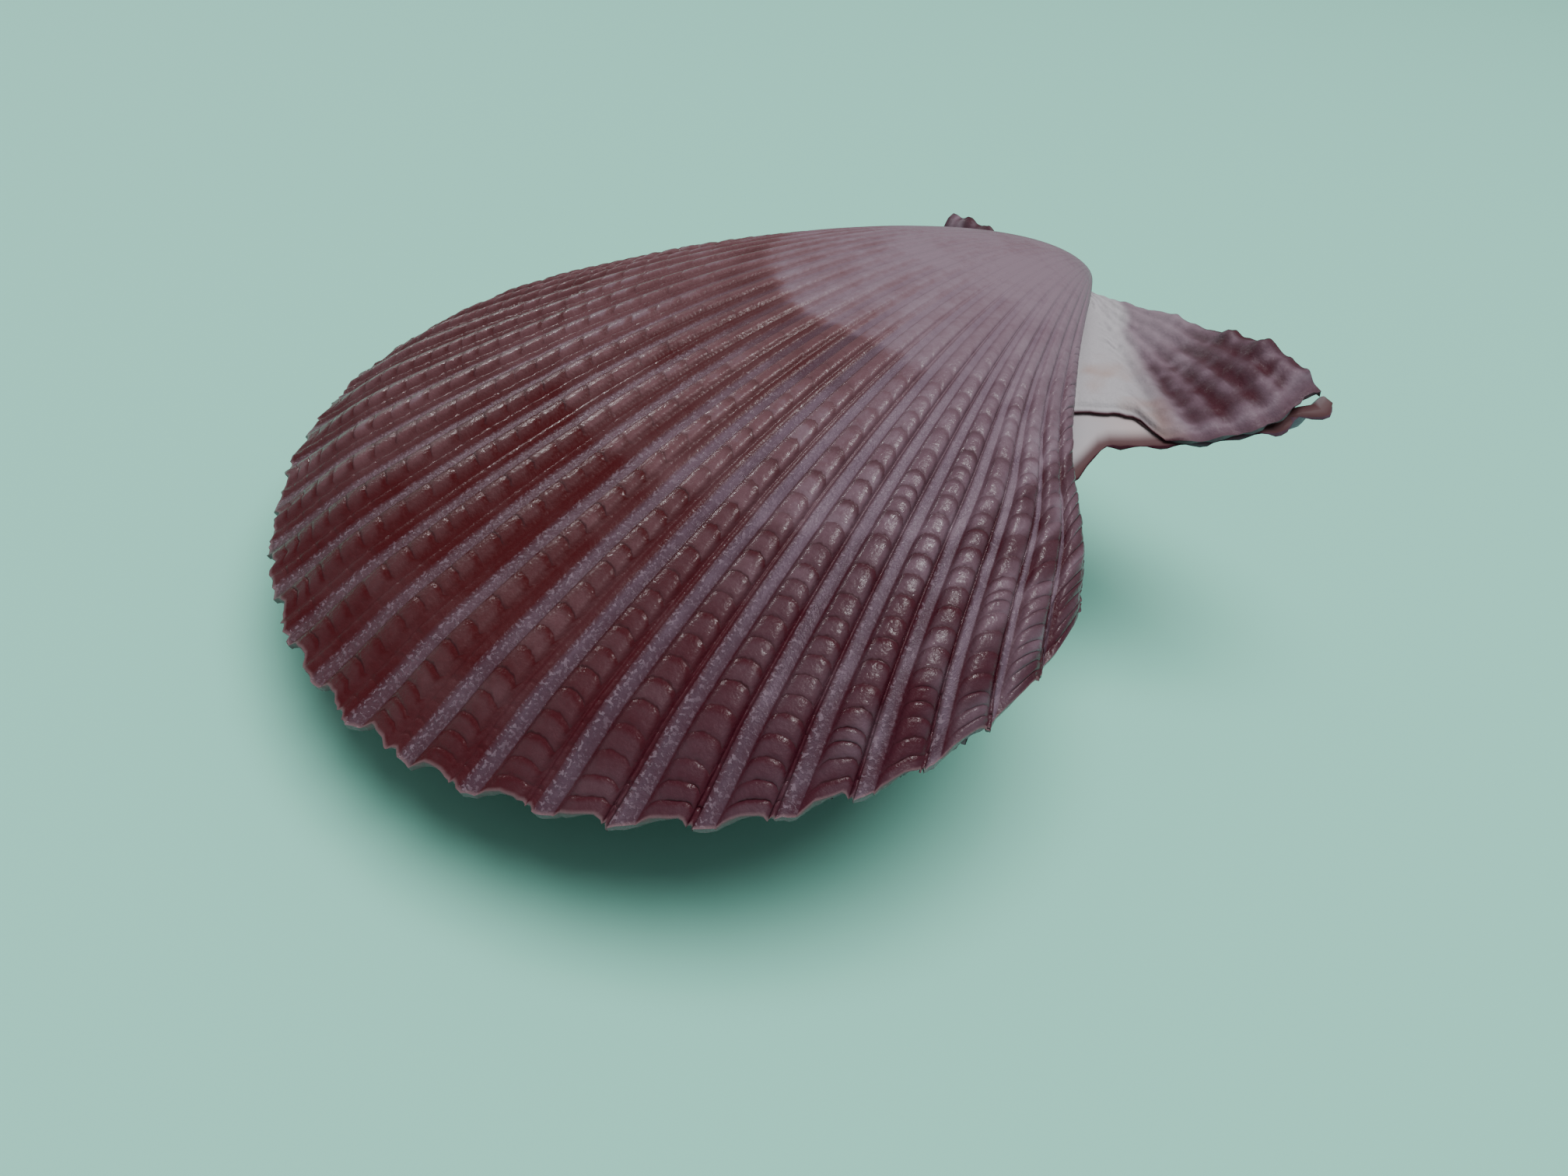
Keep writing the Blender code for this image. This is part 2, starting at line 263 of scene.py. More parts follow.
def flank_columns(ear_end, disc_end, spiral):
    """Columns with fine riblets along the disc's side, from the ear to the last rib."""
    beam, far_radius, phase = disc_end
    low, rise = FLANK_RELIEF
    columns = []
    for step in range(FLANK_COLUMNS):
        share = (step + 1) / (FLANK_COLUMNS + 1)
        crest = step % 2
        columns.append(column(beam=beam, radius=ear_end + (far_radius - ear_end) * share,
                              zone=FLANK, spiral=spiral * min(1.0, 0.35 + 1.3 * share),
                              phase=phase, place=0.5, height=low + rise * crest, bead=crest,
                              groove=0.6 * (1 - crest)))
    return columns


def ear_columns(outline, riblets, first_riblet, side, zone):
    """Columns over an ear from the disc's flank to the hinge."""
    columns = []
    flank = outline[0][0]
    for beam in np.arange(flank, first_riblet - 0.2, STRIP_STEP):
        columns.append(column(beam=side * beam, radius=ear_radius(outline, beam), zone=zone,
                              spiral=EAR_SPIRAL, phase=-1.0, place=0.0, height=0.35))
    width = (90.0 - first_riblet) / riblets
    places = [(riblet + place, height) for riblet in range(riblets)
              for place, height in RIBLET_PROFILE]
    for place, height in places + [(riblets - 0.02, 0.15)]:
        beam = first_riblet + place * width
        columns.append(column(beam=side * beam, radius=ear_radius(outline, beam), zone=zone,
                              spiral=EAR_SPIRAL, phase=place, place=place % 1.0,
                              height=height, groove=1 - height, bead=height))
    columns[-1][FIELDS.index("beam")] = side * 90.0
    return columns


def valve_columns(valve):
    spiral = valve.spiral
    disc = disc_columns(valve.shift, spiral)
    back = ear_columns(BACK_EAR, BACK_RIBLETS, BACK_FIRST_RIBLET, -1, BACK_EAR_ZONE)[::-1]
    front = ear_columns(valve.front_ear, valve.riblets, valve.first_riblet, 1,
                        FRONT_EAR_ZONE)
    back_end = (-BACK_FLANK, float(disc_radius(-BACK_FLANK)), -BACK_RIBS)
    front_end = (FRONT_FLANK, float(disc_radius(FRONT_FLANK)), FRONT_RIBS)
    back_side = flank_columns(BACK_EAR[0][1], back_end, spiral)
    front_side = flank_columns(valve.front_ear[0][1], front_end, spiral)[::-1]
    table = np.array(back + back_side + disc + front_side + front)
    return SimpleNamespace(**dict(zip(FIELDS, table.T)))


# --- rows: growth stages, several to a bead ---
SMALLEST_STAGE = 0.025  # the rows end there, and a fan of faces closes the beak


def growth_rows():
    """Growth stage, bead count, the two bead heights and the bead length of every row."""
    rows = []
    growth, beads = 1.0, 0
    while growth > SMALLEST_STAGE:
        spacing = float(along_knots(BEAD_SPACING, growth))
        for step, shape, side in BEAD_STEPS if growth > FINE_FROM else COARSE_STEPS:
            rows.append((growth - spacing * step, beads + step, shape, side, spacing))
        growth -= spacing
        beads += 1
    return np.array(rows).T


ROW_GROWTH, ROW_BEAD, ROW_SHAPE, ROW_SIDE, ROW_SPACING = growth_rows()


# --- surface ---
def spiral_surface(beam, radius, spiral, growth):
    """Points of the growing edge, turned about the hinge as it grows."""
    angle = np.radians(beam)
    turn = -spiral * np.log(np.maximum(growth, 1e-4))
    across = radius * np.sin(angle) * growth
    along = -radius * np.cos(angle) * growth
    return np.stack((across, along * np.cos(turn), -along * np.sin(turn)), axis=-1) * HEIGHT


def bent_beam(valve, zone, beam, reach):
    """Beam angle where the front flank bends in near the beak and out further on."""
    bow = along_knots(FLANK_BOW, reach)
    bow = bow - valve.flank_inset * fade(0.76, 0.60, reach)
    near_flank = fade(27.0, 44.0, beam)
    return beam + np.where(zone == FLANK, bow * (beam > 0), bow * near_flank * (zone == DISC))


def surface_normals(columns, grid):
    """Normals that point up off the disc, and away from it on its steep flanks."""
    normals = np.cross(np.gradient(grid, axis=0), np.gradient(grid, axis=1))
    normals /= np.maximum(np.linalg.norm(normals, axis=2, keepdims=True), 1e-12)
    angle = np.radians(columns.beam)
    steep = fade(36.0, 44.0, np.abs(columns.beam)) * (columns.zone == DISC)
    steep = np.where(columns.zone == FLANK, 1.0, steep)
    away = np.stack((np.sign(angle) * np.cos(angle) * steep, np.sin(np.abs(angle)) * steep,
                     np.full(len(angle), 0.5)), axis=-1)
    normals[np.sum(normals * away, axis=2) < 0] *= -1
    return normals


def rib_blend(columns, values_of_rib):
    """Take a value per rib to the columns, easing from rib to rib across each lane."""
    rib = np.floor(columns.phase)
    place = columns.place
    ease = 0.15
    here = values_of_rib(rib)
    before = values_of_rib(rib - 1)
    after = values_of_rib(rib + 1)
    left = np.clip(0.5 + place / (2 * ease), 0.5, 1.0)
    right = np.clip(0.5 + (1 - place) / (2 * ease), 0.5, 1.0)
    return np.where(place < 0.5, here * left + before * (1 - left),
                    here * right + after * (1 - right))


def growth_of_vertices(columns, valve):
    """Growth stage and bead count of every vertex, with beads set off from rib to rib."""
    on_disc = columns.zone == DISC
    on_row = on_disc & (columns.bead > 0)
    back_arc, front_arc = BEAD_ARC
    arc = back_arc + (front_arc - back_arc) * fade(2.0, 22.0, columns.beam)
    aside = np.clip((columns.place - 0.38) / 0.2, -1.5, 1.5)
    arc = np.where(on_row, arc * aside ** 2, 0.0)
    lean = np.where(on_row, along_knots(BEAD_LEAN, columns.beam) * aside, 0.0)
    growth = ROW_GROWTH[:, None]
    offset = np.zeros((len(ROW_GROWTH), len(arc)))
    uneven = 0.42 + 0.18 * fade(5.0, 30.0, columns.beam)
    for row, bead in enumerate(ROW_BEAD):
        slow = bead * BEAD_DRIFT
        offset[row] = uneven * rib_blend(columns, lambda rib: wave_noise(slow + RIB_DRIFT * rib,
                                                                         valve.seed))
    off_edge = fade(1.0, 0.94, growth)
    fading = fade(0.30, 0.42, growth)
    offset *= on_disc * off_edge
    offset += arc * fade(1.0, 0.95, growth) * fading
    moved = growth + offset * ROW_SPACING[:, None] + lean * off_edge * fading
    moved = np.minimum.accumulate(np.minimum(moved, 1.0), axis=0)
    return moved, np.broadcast_to(ROW_BEAD[:, None], moved.shape)


def edge_share(valve, zone, growth):
    """How far a valve's edge is set in where the other one laps over it."""
    return 1 - valve.inset * fade(0.80, 1.0, growth) * (zone <= FLANK)


def edge_reach(valve, columns, growth):
    """Distance from the beak, a little ragged and lobed towards the edge."""
    zone, height = columns.zone, columns.height
    on_ear = zone >= BACK_EAR_ZONE
    ragged = 0.0
    for disc_share, ear_share, pace, seed in RAGGED_EDGE:
        noise = wave_noise(np.arange(len(zone)) * pace, valve.seed + seed)
        ragged = ragged + np.where(on_ear, ear_share, disc_share) * noise
    disc_lobes = np.where(zone == DISC, DISC_LOBE * (0.5 - height), 0.0)
    ear_lobes = valve.ear_lobe * (height - RIBLET_MEAN) * (zone == FRONT_EAR_ZONE)
    lobes = np.where(on_ear, ear_lobes, disc_lobes)
    radius = columns.radius * (1 + fade(0.93, 1.0, growth) * (lobes + ragged))
    return radius * edge_share(valve, zone, growth)


def side_row_gone(beam, growth):
    """1 where the small bead row beside a rib melts into the slope, 0 where it stands."""
    return fade(-7.0, 1.0, beam) * fade(0.92, 0.84, growth)


def disc_relief(valve, columns, growth, beads):
    """Height of the ribs, beads and knobs about the mean surface of the disc."""
    phase, seed = columns.phase, valve.seed
    on_disc = columns.zone == DISC
    behind = fade(-6.0, -10.0, phase)
    to_flanks = fade(9.0, 12.5, phase) + fade(-7.0, -12.0, phase)
    no_side = side_row_gone(columns.beam, growth)
    rise = RIB_RISE * fade(0.14, 0.70, growth) * (0.45 + 0.55 * growth)
    rise = rise * (1 - 0.15 * to_flanks) * (1 - 0.15 * fade(0.97, 1.0, growth))
    profile = columns.height - 0.18 * columns.side * no_side

    rough = 1 + 0.5 * sheet_noise(phase, beads * 0.9, seed + 2)
    scaly = 1 + (0.6 * fade(2.0, 7.0, phase) + 2.0 * behind) * on_disc
    full_from = 0.60 - 0.12 * fade(3.0, 8.0, phase)
    strength = fade(FINE_FROM, full_from, growth) * (0.6 + 0.4 * growth) * rough * scaly
    bead_height = BEAD_RISE * columns.bead * ROW_SHAPE[:, None] * strength
    bead_height += SIDE_BEAD_RISE * columns.side * ROW_SIDE[:, None] * strength * (1 - no_side)
    knobs = BACK_KNOBS * behind * fade(0.40, 0.60, growth) * on_disc
    bead_height -= knobs * columns.bead * np.cos(2 * math.pi * beads)
    crumbs = CRUMBS * fade(7.0, 11.0, phase) * fade(0.45, 0.62, growth) * on_disc
    crumbs = crumbs * sheet_noise(np.arange(len(phase)) * 0.31, beads * 1.7, seed + 4)

    calm = 1 - 0.9 * (columns.zone == FLANK) * fade(0.86, 0.96, growth)
    relief = (profile - 0.5) * rise * calm + (bead_height + crumbs) * calm
    relief += GROWTH_STEP * fade(0.690, 0.682, growth)
    return relief - FLANK_SINK * to_flanks * fade(0.2, 0.5, growth)


def ear_relief(valve, columns, growth, beads):
    """Height of an ear's riblets and growth lines about its mean surface."""
    riblets = (columns.height - RIBLET_MEAN) * RIBLET_RISE * fade(0.15, 0.7, growth)
    return riblets + EAR_LINES * sheet_noise(columns.phase * 2.2, beads * 0.9,
                                             valve.seed + 3)


def outer_surface(valve):
    columns = valve_columns(valve)
    growth, beads = growth_of_vertices(columns, valve)
    zone = columns.zone
    radius = edge_reach(valve, columns, growth)
    bent = bent_beam(valve, zone, columns.beam, radius * growth)
    base = spiral_surface(bent, radius, columns.spiral, growth)
    relief = np.where(zone <= FLANK, disc_relief(valve, columns, growth, beads),
                      ear_relief(valve, columns, growth, beads))
    grid = base + surface_normals(columns, base) * relief[:, :, None]
    return columns, growth, beads, grid


# The front ear's hinge edge turns up: stage of growth and height in metres, then the
# knobs on it: stage of growth, height and half width.
EAR_RIDGE = ((0.06, 0.0), (0.31, 0.00060), (0.43, 0.00100), (0.55, 0.00100),
             (0.68, 0.00155), (0.81, 0.00175), (0.90, 0.00145), (1.0, 0.00085))
EAR_KNOBS = ((0.43, 0.00010, 0.020), (0.656, 0.00030, 0.026), (0.79, 0.00042, 0.028),
             (0.875, 0.00012, 0.012), (0.94, 0.00026, 0.020))
TIP_CURL = 0.00078  # how far the lower ear's tip curls up beyond the ligament
TIP_STAGES = (0.90, 0.97)  # growth from where the curl begins to where it is complete
# The back ears' hinge edge, in metres: its lift, the height of its knobs and its further
# rise on the way out. Then the number of those knobs.
BACK_RIDGE = (0.0003, 0.00030, 0.0006)
BACK_RIDGE_KNOBS = 7.0


def ear_ridge(growth):
    return along_knots(EAR_RIDGE, growth)


def ear_knobs(growth):
    return sum(height * np.exp(-((growth - stage) / width) ** 2)
               for stage, height, width in EAR_KNOBS)


def back_ridge(growth):
    lift, knob, rise = BACK_RIDGE
    knobs = knob * (0.5 + 0.5 * np.cos(2 * math.pi * BACK_RIDGE_KNOBS * growth))
    return knobs + lift + rise * fade(0.45, 0.70, growth)


def ear_rise(valve, zone, beam, growth):
    """How far a front ear's hinge side turns up, or follows the other one's past the ligament."""
    hinge_side = fade(64.0, 90.0, beam) * ear_ridge(growth) * (zone == FRONT_EAR_ZONE)
    clear = np.maximum(fade(86.0, 80.0, beam), fade(0.90, 0.96, growth))
    follow = valve.follow * fade(0.60, 0.80, growth) * clear
    tip = TIP_CURL * valve.follow * fade(*TIP_STAGES, growth)
    tip = tip * fade(78.0, 86.0, beam)
    return hinge_side * (valve.ridge - follow) - tip * (zone == FRONT_EAR_ZONE)


def finish_outer(valve, columns, growth, grid):
    """Lift the surface off the middle plane, straighten the hinge and raise its knobs."""
    zone, beam = columns.zone, np.abs(columns.beam)
    on_ear = zone >= BACK_EAR_ZONE
    lift = MEAN_LIFT - valve.edge_drop * fade(0.90, 1.0, growth)
    thin = 1 - 0.7 * fade(0.92, 1.0, growth)
    top_of_ear = ear_floor(valve, zone, grid[:, :, 1]) + EAR_THICKNESS * thin
    grid[:, :, 2] = np.maximum(grid[:, :, 2], DIP_LIMIT)
    grid[:, :, 2] += np.where(on_ear, top_of_ear, lift)
    grid[:, :, 2] += ear_rise(valve, zone, beam, growth)
    at_hinge = fade(82.0, 89.0, beam) * on_ear
    grid[:, :, 2] += at_hinge * (zone == FRONT_EAR_ZONE) * ear_knobs(growth) * valve.ridge
    knobs = at_hinge * (zone == BACK_EAR_ZONE) * back_ridge(growth)
    grid[:, :, 2] += knobs * fade(0.3, 0.6, growth)
    grid[:, :, 1] = np.minimum(grid[:, :, 1], 0.0)
    return grid


# --- inside ---
INNER_STAGES = (0.985, 0.96, 0.92, 0.86, 0.78, 0.68, 0.57, 0.46, 0.36, 0.27, 0.20)
INNER_SCALE = 0.968  # the hollow's outline against the shell's middle surface
INNER_RISE = 0.98  # the same for its height
INNER_LIFT = 0.0001
EAR_FLOOR = 0.00040  # height of an ear's inner face over the ligament
FLOOR_LEVELS = (-0.0018, -0.0045)  # how far from the hinge it changes to its outer height
UNDER_EAR_SCALE = (0.985, 1.0, 0.0)
UNDER_EAR_RISE = 0.95  # how much of an ear's rise its inner face follows
FOOT_SCALE = (0.997, 0.998)  # the edge's foot against its rim, across and along


def inner_picks(columns):
    """Columns that carry on into the smooth inside: four to a rib, fewer on the ears."""
    wanted = []
    last = None
    # The last column runs along the hinge and is left out, as the first one is.
    for index, (zone, phase) in enumerate(zip(columns.zone[:-1], columns.phase)):
        quarter = math.floor(phase * 4 + 1e-6) if zone == DISC else index // 2
        if (zone, quarter) != last:
            wanted.append(index)
        last = (zone, quarter)
    return np.array(wanted[1:])


def edge_flutes(valve, place):
    """Height of the edge's foot, which waves with the ribs."""
    mean, wave = valve.edge
    return mean - wave * np.cos(2 * math.pi * place)


def inner_surface(valve, columns, picks):
    """Smooth inner side, fluted near the edge, and flat under the ears."""
    beam, radius = columns.beam[picks], columns.radius[picks]
    zone, spiral = columns.zone[picks], columns.spiral[picks]
    flutes = edge_flutes(valve, columns.place[picks])
    middle = DISC_CENTRE[1] * HEIGHT
    rows = []
    for stage in INNER_STAGES:
        growth = np.full(len(picks), stage)
        reach = radius * edge_share(valve, zone, stage)
        bent = bent_beam(valve, zone, beam, reach * growth)
        points = spiral_surface(bent, reach, spiral, growth)
        inside = points.copy()
        inside[:, 0] *= INNER_SCALE
        inside[:, 1] = middle + (inside[:, 1] - middle) * INNER_SCALE
        inside[:, 2] = inside[:, 2] * INNER_RISE + INNER_LIFT
        at_edge = float(fade(0.82, 1.0, stage))
        inside[:, 2] += at_edge * (flutes - INNER_LIFT)
        under_ear = points * np.array(UNDER_EAR_SCALE)
        under_ear[:, 2] = ear_floor(valve, zone, points[:, 1])
        under_ear[:, 2] += UNDER_EAR_RISE * ear_rise(valve, zone, np.abs(beam), growth)
        rows.append(np.where((zone >= BACK_EAR_ZONE)[:, None], under_ear, inside))
    return np.array(rows)


def ear_floor(valve, zone, along):
    """Height of an ear's inner face, clear of the ligament and then level."""
    level = np.where(zone == FRONT_EAR_ZONE, valve.front_floor, EAR_FLOOR)
    return EAR_FLOOR + (level - EAR_FLOOR) * fade(*FLOOR_LEVELS, along)


def edge_foot(valve, columns, rim):
    """The foot of the edge, straight under the rim of the outer surface."""
    zone = columns.zone
    under_ear = ear_floor(valve, zone, rim[:, 1])
    under_ear += UNDER_EAR_RISE * ear_rise(valve, zone, np.abs(columns.beam), 1.0)
    under_flank = np.where(zone == FLANK, valve.edge[0], under_ear)
    foot = rim.copy()
    foot[:, 2] = np.where(zone == DISC, edge_flutes(valve, columns.place), under_flank)
    foot[:, :2] *= FOOT_SCALE
    return foot


# --- pigment ---
# Growth stage, then the pigment on the rows' tops, in the grooves and in the lanes.
MIDDLE_BANDS = ((0.28, 0.00, 0.03, 0.02), (0.33, 0.05, 0.13, 0.11), (0.440, 0.09, 0.20, 0.17),
                (0.450, 0.38, 0.66, 0.60), (0.515, 0.36, 0.66, 0.56), (0.530, 0.28, 0.68, 0.38),
                (0.682, 0.32, 0.74, 0.38), (0.690, 0.68, 0.98, 0.50), (0.860, 0.70, 0.98, 0.52),
                (0.900, 0.84, 1.00, 0.62), (1.000, 0.90, 1.00, 0.66))
FRONT_BANDS = ((0.28, 0.00, 0.02, 0.02), (0.33, 0.10, 0.16, 0.12), (0.445, 0.14, 0.22, 0.16),
               (0.455, 0.20, 0.34, 0.22), (0.530, 0.25, 0.42, 0.22), (0.682, 0.28, 0.44, 0.24),
               (0.690, 0.50, 0.90, 0.42), (0.860, 0.66, 0.98, 0.52), (1.000, 0.76, 0.98, 0.62))
LAST_BANDS = ((0.28, 0.00, 0.02, 0.02), (0.45, 0.10, 0.18, 0.12), (0.600, 0.14, 0.40, 0.16),
              (0.650, 0.42, 0.85, 0.24), (0.860, 0.52, 0.90, 0.30), (1.000, 0.60, 0.92, 0.45))
BACK_BANDS = ((0.28, 0.00, 0.03, 0.02), (0.33, 0.08, 0.18, 0.16), (0.440, 0.14, 0.28, 0.24),
              (0.452, 0.27, 0.50, 0.34), (0.682, 0.22, 0.44, 0.30), (0.690, 0.29, 0.56, 0.32),
              (0.900, 0.35, 0.68, 0.40), (1.000, 0.47, 0.82, 0.50))


def disc_pigment(columns, beam, growth, seed):
    """How dark the shell is, from 0 to 1: bands along growth, rows and lanes across."""
    rib = np.floor(columns.phase) + 0.5
    wobble = growth + 0.007 * wave_noise(rib * 0.7, seed + 11) - 0.0006 * (beam + 5)
    to_last = fade(32.0, 39.0, beam)
    to_front = fade(12.0, 24.0, beam) - to_last
    to_back = fade(-1.0, -15.0, beam)
    groove = np.clip(columns.groove, 0.0, 1.0)
    lane = columns.lane * (1 - groove)
    top = 1 - groove - lane
    amount = 0.0
    for bands, share in ((MIDDLE_BANDS, 1 - to_front - to_back - to_last),
                         (FRONT_BANDS, to_front), (LAST_BANDS, to_last), (BACK_BANDS, to_back)):
        stages, *levels = zip(*bands)
        amount = amount + share * sum(part * np.interp(wobble, stages, level)
                                      for part, level in zip((top, groove, lane), levels))
    blotches = sheet_noise(rib * 0.8, growth * 14.0, seed + 12)
    streaks = sheet_noise(rib * 1.0, growth * 45.0, seed + 13)
    patches = sheet_noise(columns.phase * 2.6, growth * 38.0, seed + 14)
    patches = patches * (0.10 + 0.60 * fade(26.0, 38.0, beam))
    return np.clip(amount * (1 + 0.16 * blotches + 0.10 * streaks + patches), 0.0, 1.0)


def disc_lilac(columns, beam, growth):
    """Where the red turns to lilac: in the lanes, in front and near the edge."""
    lane = columns.lane * (0.55 + 0.45 * fade(0.0, 20.0, beam))
    general = 0.65 * fade(8.0, 32.0, beam) + 0.10 * fade(0.86, 1.0, growth)
    return np.clip(np.maximum(lane, general), 0.0, 1.0)


def ear_pigment(growth, phase, height, seed):
    """Dark purple-red in the hollows between an ear's riblets, towards its edge."""
    blotch = 0.5 * sheet_noise(phase * 0.9, growth * 9.0, seed + 21)
    blotch = blotch + 0.9 * sheet_noise(phase * 2.3, growth * 36.0, seed + 22)
    along = fade(0.42, 0.70, growth) * fade(0.98, 0.88, growth)
    inward = 0.35 + 0.65 * fade(0.2, 1.8, phase)
    return np.clip(along * inward * (1.05 - 0.55 * height) * (0.85 + 0.5 * blotch), 0.0, 1.0)


def notch_edge_shade(zone, beam):
    """1 where the front ear's edge beside the notch gets painted shade, for the dark gap under
    it.
    """
    return (zone == FRONT_EAR_ZONE) * fade(66.0, 61.0, np.abs(beam))


# Growth stage, then how many degrees wider the white strip is there than at the edge.
WHITE_STRIP = ((0.10, 34.0), (0.17, 30.0), (0.35, 8.0), (0.60, 2.0), (1.0, 0.0))


def bare_white(zone, beam, growth):
    """1 on the smooth white strip between the disc and the front ear's riblets."""
    strip = fade(66.0, 53.0, np.abs(beam) - along_knots(WHITE_STRIP, growth))
    return (zone == FRONT_EAR_ZONE) * np.maximum(strip, 0.12 * fade(0.80, 0.35, growth))


# --- meshes ---
HINGE_FOOT = 0.00024  # height of the hinge face's foot
HINGE_FOLLOWS = 0.85  # how much of the ridge that foot follows
INNER_APEX = (0.0, -0.0038, EAR_FLOOR)
SHARP_ANGLE = 80  # degrees
ATTRIBUTES = ("growth", "phase", "bead", "crest", "lane", "frost_and_glint", "darkness", "lilac", "ear",
              "white")


def hinge_lift(valve, growth):
    """How far the foot of the front ear's hinge edge follows its ridge, knobs and tip."""
    raised = ear_ridge(growth) + ear_knobs(growth)
    lift = HINGE_FOLLOWS * valve.ridge * raised * fade(0.70, 0.92, growth)
    tip = (ear_ridge(growth) + TIP_CURL) * fade(*TIP_STAGES, growth)
    return lift - valve.follow * tip


class MeshParts:
    """Gathers points, faces and a material number for each face."""

    def __init__(self):
        self.points, self.faces, self.kinds = [], [], []

    def add(self, points):
        start = len(self.points)
        self.points += [tuple(point) for point in points]
        return list(range(start, len(self.points)))

    def face(self, corners, kind):
        self.faces.append(tuple(corners))
        self.kinds.append(kind)

    def strip(self, first, second, kind):
        for index in range(len(first) - 1):
            self.face((first[index], first[index + 1], second[index + 1], second[index]), kind)

    def fan(self, row, tip, kind):
        for index in range(len(row) - 1):
            self.face((row[index], row[index + 1], tip), kind)


OUTSIDE, INSIDE = 0, 1


def stitch(parts, fine, fine_growth, coarse):
    """Join a finely divided side to a coarse one, along the underside of the hinge."""
    # Growth runs from 1 down to 0, so the outer limits take in both ends.
    limits = [1.1, *INNER_STAGES, -1.0]
    for step in range(len(coarse) - 1):
        inside = [index for index, growth in zip(fine, fine_growth)
                  if limits[step + 1] <= growth <= limits[step]]
        before = [index for index, growth in zip(fine, fine_growth) if growth > limits[step]]
        parts.face(before[-1:] + inside + [coarse[step + 1], coarse[step]], INSIDE)


def valve_mesh(valve):
    """The columns, growth and beads of a valve's outer side, and its whole closed mesh."""
    columns, growth, beads, grid = outer_surface(valve)
    grid = finish_outer(valve, columns, growth, grid)
    parts = MeshParts()
    rows = [parts.add(row) for row in grid]
    for near, far in zip(rows, rows[1:]):
        parts.strip(near, far, OUTSIDE)
    tip = parts.add([(0.0, 0.0, MEAN_LIFT)])[0]
    parts.fan(rows[-1], tip, OUTSIDE)

    foot = parts.add(edge_foot(valve, columns, grid[0]))
    parts.strip(rows[0], foot, OUTSIDE)
    picks = inner_picks(columns)
    inner = [parts.add(row) for row in inner_surface(valve, columns, picks)]
    for place, (start, end) in enumerate(zip(picks, picks[1:])):
        parts.face(foot[start:end + 1] + [inner[0][place + 1], inner[0][place]], INSIDE)
    for near, far in zip(inner, inner[1:]):
        parts.strip(near, far, INSIDE)

    beak_foot = parts.add([(0.0, 0.0, HINGE_FOOT)])[0]
    apex = parts.add([INNER_APEX])[0]
    parts.fan(inner[-1], apex, INSIDE)
    for side in (0, -1):
        lift = hinge_lift(valve, growth[:, side]) * (side != 0)
        feet = [(*grid[row][side][:2], HINGE_FOOT + lift[row]) for row in range(1, len(rows))]
        below = [foot[side]] + parts.add(feet) + [beak_foot]
        parts.strip([row[side] for row in rows] + [tip], below, OUTSIDE)
        # The edge's foot from the hinge to where the inside begins.
        corner = foot[:picks[0] + 1] if side == 0 else foot[picks[-1]:][::-1]
        stitch(parts, below, [*growth[:, side], 0.0],
               [corner[-1]] + [row[side] for row in inner] + [apex])
        if len(corner) > 2:
            parts.face(corner[::-1], INSIDE)
    points = np.array(parts.points)
    points[:, 2] *= valve.side
    return columns, growth, beads, points, parts


def vertex_attributes(valve, columns, growth, beads):
    """Values for the materials at all vertices, in the order in which valve_mesh adds them."""
    zone, beam, phase = columns.zone, columns.beam, columns.phase
    on_body = zone <= FLANK
    on_ear = zone >= BACK_EAR_ZONE
    # Painted shade on the rim beside the notch, for the dark gap under it: it darkens the colour
    # there and is taken off the white strip.
    notch_rim_shade = fade(0.975, 1.0, growth) * notch_edge_shade(zone, beam)
    ear_stain_and_shade = ear_pigment(growth, phase, columns.height, valve.seed)
    ear_stain_and_shade = np.maximum(ear_stain_and_shade, 0.5 * fade(0.93, 1.0, growth))
    ear_stain_and_shade = np.maximum(ear_stain_and_shade * (phase >= 0), notch_rim_shade)
    # Where the pale specks go: the frosted side of each lane, with painted sparkle highlights.
    frost_glint = columns.lane * np.where(columns.place > 0.5, 1.0, 0.4)
    fainter = 1 - 0.6 * fade(33.0, 40.0, beam)
    fainter = fainter - 0.45 * fade(-18.0, -32.0, beam)
    values = {
        "growth": growth,
        "phase": phase,
        "bead": beads,
        "crest": columns.bead * on_body * fainter,
        "lane": columns.lane * on_body,
        "frost_and_glint": frost_glint * on_body,
        # The shell's own red colour, and painted shade on the notch's edge.
        "darkness": np.where(on_ear, ear_stain_and_shade,
                            disc_pigment(columns, beam, growth, valve.seed)),
        "lilac": np.where(on_ear, 0.75, disc_lilac(columns, beam, growth)),
        "ear": on_ear * 1.0,
        "white": bare_white(zone, beam, growth) * (1 - notch_rim_shade),
    }
    picks = inner_picks(columns)
    stages = np.repeat(np.array(INNER_STAGES)[:, None], len(picks), axis=1)
    under_ear = (zone[picks] >= BACK_EAR_ZONE) * fade(58.0, 66.0, np.abs(beam[picks]))
    inside = {"growth": stages, "darkness": under_ear * fade(0.76, 0.92, stages)}
    layers = {}
    for name in ATTRIBUTES:
        grid = np.broadcast_to(values[name], growth.shape)
        blocks = (grid, [0.0], grid[0], inside.get(name, 0.0 * stages), [0.0, 0.0],
                  grid[1:, 0], grid[1:, -1])
        layers[name] = np.concatenate([np.ravel(block) for block in blocks])
    return layers


def add_object(name, data):
    added = bpy.data.objects.new(name, data)
    bpy.context.scene.collection.objects.link(added)
    return added


